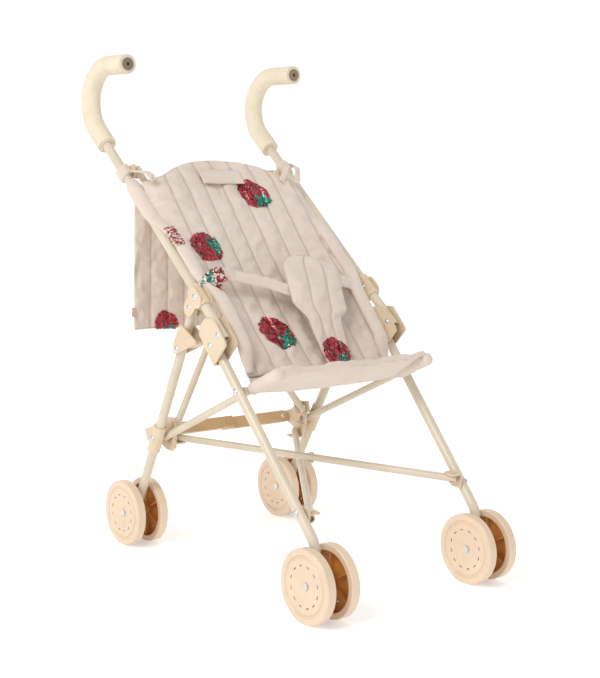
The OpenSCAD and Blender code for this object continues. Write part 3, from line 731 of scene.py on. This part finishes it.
def base_surface(u, v):
    """The short seat: from its wavy front hem down under the rails to the crease, sagging between them."""
    s = 2 * u - 1
    low = SEAT_PIVOT + Vector((1, -4)) * MM
    p = mix(SEAT_FRONT, low, min(1, v / 0.75))
    p = mix(p, CREASE + Vector((2, 1)) * MM, max(0, (v - 0.75) / 0.25))
    sag = -3 * MM * math.sin(math.pi * v) * (1 - s * s)
    return at(s * SEAT_HALF, p + Vector((0, sag + hem_wave(s) * (1 - v) ** 2)))


def hem_roll():
    """The rolled hem along the seat's front edge, its thickness never quite the same."""
    path = []
    for k in range(61):
        s = k / 30 - 1
        fold = 0.8 * MM * noise.noise(Vector((s * 5, 3.0, 0.5)))
        path.append(at(s * (SEAT_HALF + 3 * MM), SEAT_FRONT + Vector((-1 * MM + fold, 2 * MM + hem_wave(s)))))

    def section(s, a):
        swell = 1 + 0.3 * noise.noise(Vector((s * 14, a * 0.5, 4)))
        return 3.2 * MM * swell, 2.1 * MM * swell

    return sweep("front_hem", path, section, STRAP)


def rear_surface(u, v):
    """The loose panel behind the seat, hung from its top edge and waving a little at its hem."""
    low, high = PANEL_BOX
    x = low[0] + (high[0] - low[0]) * u
    z = low[2] + (high[2] - low[2]) * v
    y = (low[1] + high[1]) / 2 + 3.2 * MM * math.sin(x * 62 + 0.6) * (1 - v) ** 0.7
    return Vector((x, y, z - 2 * MM * noise.noise(Vector((x * 14, 0, 2))) * (1 - v)))


def pad_surface(u, v):
    """The pad between the doll's legs: a narrow strap at the seat, a broad round-cornered pad above it."""
    s = 2 * u - 1
    corner = max(0.0, v - 0.82) / 0.19
    shoulder = smooth(0.4, 0.6 if s < 0 else 0.48, v)
    half = (17 + 5 * smooth(0, 0.4, v) + 15 * shoulder) * math.sqrt(max(0.04, 1 - corner ** 3))
    x = 22 + 15 * smooth(0.45, 1, v) + s * half
    along = -3 + 138 * v - 7 * s * smooth(0.6, 1, v)
    forward = 9 + 17 * smooth(0, 0.75, v) - 6 * s * s * smooth(0.3, 0.9, v)
    return on_sling(x, along, forward)


def rail_wrap(side, name):
    """Cloth sewn round a seat rail, from the front leg to the rail's end."""
    x = side * JOINT["left_rail_hinge"]["pos_m"][0]
    start = at(x, SEAT_PIVOT + RAIL_DIR * 6 * MM)
    end = at(x, SEAT_PIVOT + RAIL_DIR * (RAIL_FRONT + 6 * MM))

    def section(s, a):
        ripple = 1 + 0.12 * noise.noise(Vector((s * 9, a, side * 7.0)))
        close = math.sqrt(max(0.05, 1 - (max(0.0, s - 0.9) / 0.1) ** 3))
        return 7.2 * MM * ripple * close, 7.2 * MM * ripple * close

    return sweep(name, [mix(start, end, k / 30) for k in range(31)], section, COTTON, ring=18)


def belt(name, places, width, seed=3, turn=FORWARD):
    """A flat waist strap through places on the sling, (x, along, forward) in mm; width is (start, end)."""
    points = [on_sling(*p) for p in places]
    return strap(name, points, turn, width, 1.5, STRAP, count=60, wave=1.6, seed=seed)


def tube_band(name, side, along, seed):
    """A cloth band wound round a handle tube, its ends rounded and its wraps a little uneven."""
    width, thick = 17, 2.8
    axis = at(0, UP)
    centre = at(side * SIDE_X, on_handle(along * MM, 0))
    a_dir = Vector((1, 0, 0))
    b_dir = axis.cross(a_dir)
    verts, faces, uvs = [], [], []
    ring, rows = 40, 12
    for j in range(rows + 1):
        t = j / rows * 2 - 1
        swell = math.sqrt(max(0.0, 1 - abs(t) ** 5)) * thick
        for i in range(ring):
            a = 2 * math.pi * i / ring
            wob = noise.noise(Vector((math.cos(a) * 1.4, math.sin(a) * 1.4, t + seed)))
            r = TUBE_R + (0.35 + swell * (1 + 0.35 * wob)) * MM
            shift = axis * (t * width / 2 + 1.6 * math.sin(a + seed)) * MM
            verts.append(centre + (a_dir * math.cos(a) + b_dir * math.sin(a)) * r + shift)
            uvs.append((i / ring * 0.05, t * width / 2 * MM))
    for j in range(rows):
        for i in range(ring):
            a, b = j * ring + i, j * ring + (i + 1) % ring
            faces.append((a, b, b + ring, a + ring))
    return mesh_object(name, verts, faces, STRAP, uvs)


def label_surface(u, v):
    """The blank patch lies on the seat back's arch, leaning back with it."""
    x = -38 + 59 * u
    along = 262 + 21 * v
    back = back_surface(back_u(x * MM), min(1.0, (along - 4) / ((BACK_LENGTH + ARCH) / MM)))
    lean = (Vector((back.y, back.z)) - CREASE).dot(BACK_OUT) / MM
    return on_sling(x, along, 5.0 - lean)


def label():
    """A blank sewn patch at the top of the seat back, with stitches round its edge."""
    patch = panel("blank_label", label_surface, (0.059, 0.021), [0.0, 1.0], [0.3], STRAP,
                  thin=1.0, seed=8, rows=12, per=24)
    verts, faces = [], []
    (u0, v0), (u1, v1) = (0.05, 0.12), (0.95, 0.88)
    frame_line = [(mix(u0, u1, k / 24), v0) for k in range(25)]
    frame_line += [(u1, mix(v0, v1, k / 10)) for k in range(11)]
    frame_line += [(mix(u1, u0, k / 24), v1) for k in range(25)]
    frame_line += [(u0, mix(v1, v0, k / 10)) for k in range(11)]
    line = [label_surface(u, v) - at(0, BACK_OUT) * 0.75 * MM for u, v in frame_line]
    side = [(b - a).cross(at(0, BACK_OUT)) for a, b in zip(line, line[1:] + line[:1])]
    add_stitches(line, side, verts, faces, -0.3, 2.2)
    attach(mesh_object("blank_label_stitches", verts, faces, THREAD), "right_handle")
    return patch


def soft(obj, body, nodes=()):
    """Finishes one padded piece."""
    if nodes:
        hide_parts(*nodes)
    attach(obj, body)
    return subdivide(obj)


# ---- Strawberries of sequins ----

LEAVES = 5
SEQUIN_PITCH = 1.85 * MM
SEQUIN_R = 1.3 * MM
SEQUIN_LIFT = 1.1 * MM
SEQUIN_TILT = 0.2


def berry_shape(x, y):
    """Which sequins lie at a point of a unit berry, tip down: 1 fruit, 2 leaves, 0 none."""
    half = 0.97 * math.sqrt(max(0.0, 1 - ((y + 0.05) / 0.95) ** 2)) * (0.72 + 0.30 * (y + 1) / 2)
    angle = math.atan2(y - 0.62, x)
    reach = 0.34 + 0.16 * math.cos(LEAVES * angle + 0.6)
    if math.hypot(x, y - 0.66) < reach + 0.10:
        return 2
    return 1 if abs(x) < half and -0.98 < y < 0.84 else 0


def sequins(name, target, origin, across, up, size, shape, pale, seed):
    """Rows of small discs on the target's surface.

    shape(x, y) is 0 for none, 1 for red and 2 for teal; pale is the share of discs turned over.
    """
    rng = random.Random(seed)
    tree = BVHTree.FromPolygons([v.co.copy() for v in target.data.vertices],
                                [tuple(p.vertices) for p in target.data.polygons])
    out = across.cross(up).normalized()
    verts, faces, reflection_levels, kinds = [], [], [], []
    rows = int(1.2 * size / SEQUIN_PITCH)
    for j in range(-rows, rows + 1):
        for i in range(-rows, rows + 1):
            x = (i + 0.5 * (j % 2)) * SEQUIN_PITCH + rng.uniform(-0.2, 0.2) * MM
            y = j * SEQUIN_PITCH * 0.8 + rng.uniform(-0.2, 0.2) * MM
            kind = shape(x / size, y / size)
            place = origin + across * x + up * y
            hit, normal, _, _ = tree.ray_cast(place + out * 20 * MM, -out, 35 * MM)
            if not kind or hit is None:
                continue
            normal = normal if normal.dot(out) > 0 else -normal
            add_disc(verts, faces, hit + normal * SEQUIN_LIFT, normal, rng)
            # painted reflection: each disc's brightness, partly at random and partly in rings round the berry's
            # middle
            ring = 0.5 + 0.5 * math.sin(math.hypot(x, y) / size * 19)
            reflection_levels.extend([0.75 * rng.random() ** 1.3 + 0.25 * ring] * 7)
            kinds.extend([2 if rng.random() < pale else kind - 1] * 6)
    obj = mesh_object(name, verts, faces, RED, smooth_faces=False)
    obj.data.materials.append(TEAL)
    obj.data.materials.append(PALE)
    reflection_level = obj.data.attributes.new("reflection_level", "FLOAT", "POINT")
    reflection_level.data.foreach_set("value", reflection_levels)
    obj.data.polygons.foreach_set("material_index", kinds)
    return attach(obj, "right_handle")


def add_disc(verts, faces, centre, normal, rng):
    """One sequin: a shallow six-sided cup, tipped a little at random."""
    tip = Vector((rng.uniform(-1, 1), rng.uniform(-1, 1), rng.uniform(-1, 1))) * SEQUIN_TILT
    n = (normal + tip).normalized()
    a = n.orthogonal().normalized()
    b = n.cross(a)
    base = len(verts)
    verts.append(centre - n * 0.12 * MM)
    for k in range(6):
        t = math.pi * k / 3
        verts.append(centre + (a * math.cos(t) + b * math.sin(t)) * SEQUIN_R)
    for k in range(6):
        faces.append((base, base + 1 + k, base + 1 + (k + 1) % 6))


# ---- Floor, light and camera ----


def studio():
    """A pale floor, an even white sky and two soft lamps."""
    bpy.ops.mesh.primitive_plane_add(size=12)
    floor = bpy.context.object
    floor.name = "floor"
    m = Nodes("pale_floor")
    color = m.ramp(m.noise(3, 2), [(0.3, (0.90, 0.90, 0.90)), (0.7, (0.92, 0.92, 0.92))])
    floor.data.materials.append(m.finish(color, roughness=0.8, Emission_Color=(1, 1, 1, 1),
                                         Emission_Strength=0.3))
    backdrop()
    world = bpy.data.worlds.new("studio")
    bpy.context.scene.world = world
    world.use_nodes = True
    world.node_tree.nodes["Background"].inputs["Color"].default_value = (1.0, 1.0, 1.0, 1)
    world.node_tree.nodes["Background"].inputs["Strength"].default_value = 0.68
    lamp("key", (-1.7, -0.5, 1.7), 0.9, 22)
    lamp("back", (0.6, 2.0, 1.7), 1.6, 8)
    bpy.context.scene.view_settings.view_transform = "Standard"


def backdrop():
    """A white wall all round, far off, so that every view ends in white."""
    sides, radius, height = 48, 6, 2.6
    angles = [2 * math.pi * k / sides for k in range(sides)]
    ring = [Vector((radius * math.sin(a), radius * math.cos(a), 0)) for a in angles]
    top = [p + Vector((0, 0, height)) for p in ring]
    faces = [(k, (k + 1) % sides, sides + (k + 1) % sides, sides + k) for k in range(sides)]
    m = Nodes("white_wall")
    color = m.ramp(m.noise(1, 1), [(0.3, (0.0, 0.0, 0.0)), (0.7, (0.01, 0.01, 0.01))])
    wall = m.finish(color, roughness=0.9, Emission_Color=(1, 1, 1, 1), Emission_Strength=1.0)
    mesh_object("backdrop", ring + top, faces, wall)


def lamp(name, place, size, power):
    """A square lamp aimed at the middle of the stroller."""
    light = bpy.data.lights.new(name, "AREA")
    light.size = size
    light.energy = power
    obj = bpy.data.objects.new(name, light)
    obj.location = place
    aim = Vector((0, 0, 0.25)) - obj.location
    obj.rotation_euler = aim.to_track_quat("-Z", "Y").to_euler()
    bpy.context.scene.collection.objects.link(obj)


def camera():
    """A long lens, low, off the stroller's front right corner."""
    yaw, pitch, roll = (math.radians(a) for a in (38.48, -7.52, 0.9))
    place = (-0.9026, -1.1606, 0.4414)
    data = bpy.data.cameras.new("camera")
    data.sensor_fit = "HORIZONTAL"
    data.sensor_width = 36
    data.lens = 79.46
    obj = bpy.data.objects.new("camera", data)
    turn = Matrix.Rotation(-yaw, 4, "Z") @ Matrix.Rotation(math.pi / 2 + pitch, 4, "X")
    obj.matrix_world = Matrix.Translation(place) @ turn @ Matrix.Rotation(roll, 4, "Z")
    bpy.context.scene.collection.objects.link(obj)
    bpy.context.scene.camera = obj


# ---- Build ----


def quilts():
    """The large padded pieces, each with the CAD solids it stands for."""
    back = seat_back()
    base = panel("seat_base", base_surface, (2 * SEAT_HALF, 0.072), [0.0, 1.0], [1.2], COTTON, seed=4, per=60)
    rear = panel("rear_panel", rear_surface, (0.196, 0.15), even_seams(9), [4] * 9, COTTON, seed=6)
    puff_up(rear, pressure=3, grow=0.05)
    pad = panel("crotch_pad_quilt", pad_surface, (0.06, 0.138), even_seams(3), [5] * 3, COTTON, seed=7)
    puff_up(pad, pressure=3, grow=0.04)
    patch = label()
    # every inner seam is stitched, and on the seat back one edge as well
    for obj, lines in ((back, CHANNELS + 2), (rear, 8), (pad, 2)):
        stitches(obj, [CHANNEL_COLS * (k + 1) for k in range(lines)])
    strawberries(back, pad, rear)
    soft(back, "right_handle", ["seat_back_quilt", "right_side_wing", "left_side_wing"])
    soft(base, "right_seat_rail", ["seat_base_quilt"])
    soft(rear, "right_handle", ["rear_quilted_panel"])
    soft(pad, "right_handle", ["crotch_pad"])
    soft(patch, "right_handle")


def edges():
    """The sleeves, rail wraps and top bands of both sides, and the seat's front hem."""
    for side, name in ((-1, "right"), (1, "left")):
        padded_edge = sleeve(side, f"{name}_edge_sleeve")
        if side < 0:
            sequins("sleeve_sequins", padded_edge, on_sling(-113, 184, 10), SIDEWAYS, at(0, BACK_DIR),
                    15 * MM, lambda x, y: 1 if abs(x) < 0.34 and abs(y) < 1 else 0, 0.45, 12)
        soft(padded_edge, "right_handle")
        wrap = subdivide(rail_wrap(side, f"{name}_rail_wrap"))
        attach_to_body(wrap, f"{name}_seat_rail")
        along = 256 if side < 0 else 268
        band = subdivide(tube_band(f"{name}_top_band", side, along, seed=side + 3))
        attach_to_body(band, f"{name}_handle")
    soft(hem_roll(), "right_seat_rail")


def belts():
    """The waist belt: near strap, far strap, and the near strap's sequinned flap."""
    near = belt("right_waist_strap", [(-99, 119, 15), (-84, 122, 17), (-67, 121, 15), (-45, 114, 15),
                                      (-24, 105, 17), (-4, 93, 19), (10, 86, 21)], (13, 14))
    far = belt("left_waist_strap", [(62, 103, 20), (78, 103, 18), (92, 101, 14), (108, 99, 8)],
               (14, 16), seed=9)
    flap = belt("right_strap_flap", [(-84, 121, 19), (-94, 118, 19), (-102, 111, 16), (-107, 103, 10)],
                (16, 26), seed=5, turn=(-0.35, -0.8, 0.35))
    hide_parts("waist_belt")
    sequins("strap_flap_sequins", flap, on_sling(-97, 115, 17), SIDEWAYS, at(0, BACK_DIR), 17 * MM,
            lambda x, y: 2 if x < -0.1 and y > -0.5 else 1, 0.4, 11)
    for obj in (near, far, flap):
        attach(obj, "right_handle")
        subdivide(obj)


def ties():
    """Short tapes from the handle tubes to the seat back's top corners.

    Each is its side, where it leaves the tube, and its middle and end on the sling.
    """
    tapes = [("left_tie_inner", 1, 266, (95, 288, 8), (75, 264, 5)),
             ("left_tie_outer", 1, 264, (106, 284, 8), (96, 260, 6)),
             ("right_tie", -1, 252, (-112, 272, 9), (-107, 262, 7))]
    for seed, (name, side, along, middle, end) in enumerate(tapes):
        start = at(side * 115 * MM, on_handle(along * MM, -8 * MM))
        points = [start, on_sling(*middle), on_sling(*end)]
        tape = strap(name, points, FORWARD, (9, 8), 1.4, STRAP, count=24, wave=1.2, seed=seed)
        subdivide(attach(tape, "right_handle"))


def side_tag():
    """The plain tag sewn into the rear panel's side."""
    low, high = PANEL_BOX
    middle = Vector((low.x - 1 * MM, (low.y + high.y) / 2, low.z + 21 * MM))
    points = [middle + SIDEWAYS * d * MM for d in (3, 0, -3)]
    tag = strap("side_tag", points, (0, -1, 0), (11, 11), 1.2, THREAD, count=10, wave=0.3)
    subdivide(attach(tag, "right_handle"))


def strawberries(back, pad, rear):
    """Plain strawberries, laid where the cloth shows; the last one runs off its hem."""
    up, side = at(0, BACK_DIR), SIDEWAYS
    spots = [("strawberry_top", back, (29, 249), -142, 22), ("strawberry_side", back, (-75, 171), -75, 23),
             ("strawberry_low", back, (-33, 53), -135, 24), ("strawberry_pad", pad, (21, 12), -150, 20)]
    for seed, (name, target, (x, along), angle, size) in enumerate(spots):
        a = math.radians(angle)
        top = up * math.cos(a) - side * math.sin(a)
        across = side * math.cos(a) + up * math.sin(a)
        sequins(name, target, on_sling(x, along, 3), across, top, size * MM, berry_shape, 0.0, seed)
    low, high = PANEL_BOX
    hem = Vector((low.x + 41 * MM, (low.y + high.y) / 2, low.z + 6 * MM))
    a = math.radians(150)
    top, across = Vector((math.sin(a), 0, math.cos(a))), Vector((-math.cos(a), 0, math.sin(a)))
    for name, flip in (("strawberry_hem", 1), ("strawberry_hem_back", -1)):
        sequins(name, rear, hem, across * flip, top, 16 * MM, berry_shape, 0.0, 7 + flip)


dress_frame()
studio()
camera()
quilts()
edges()
belts()
ties()
side_tag()
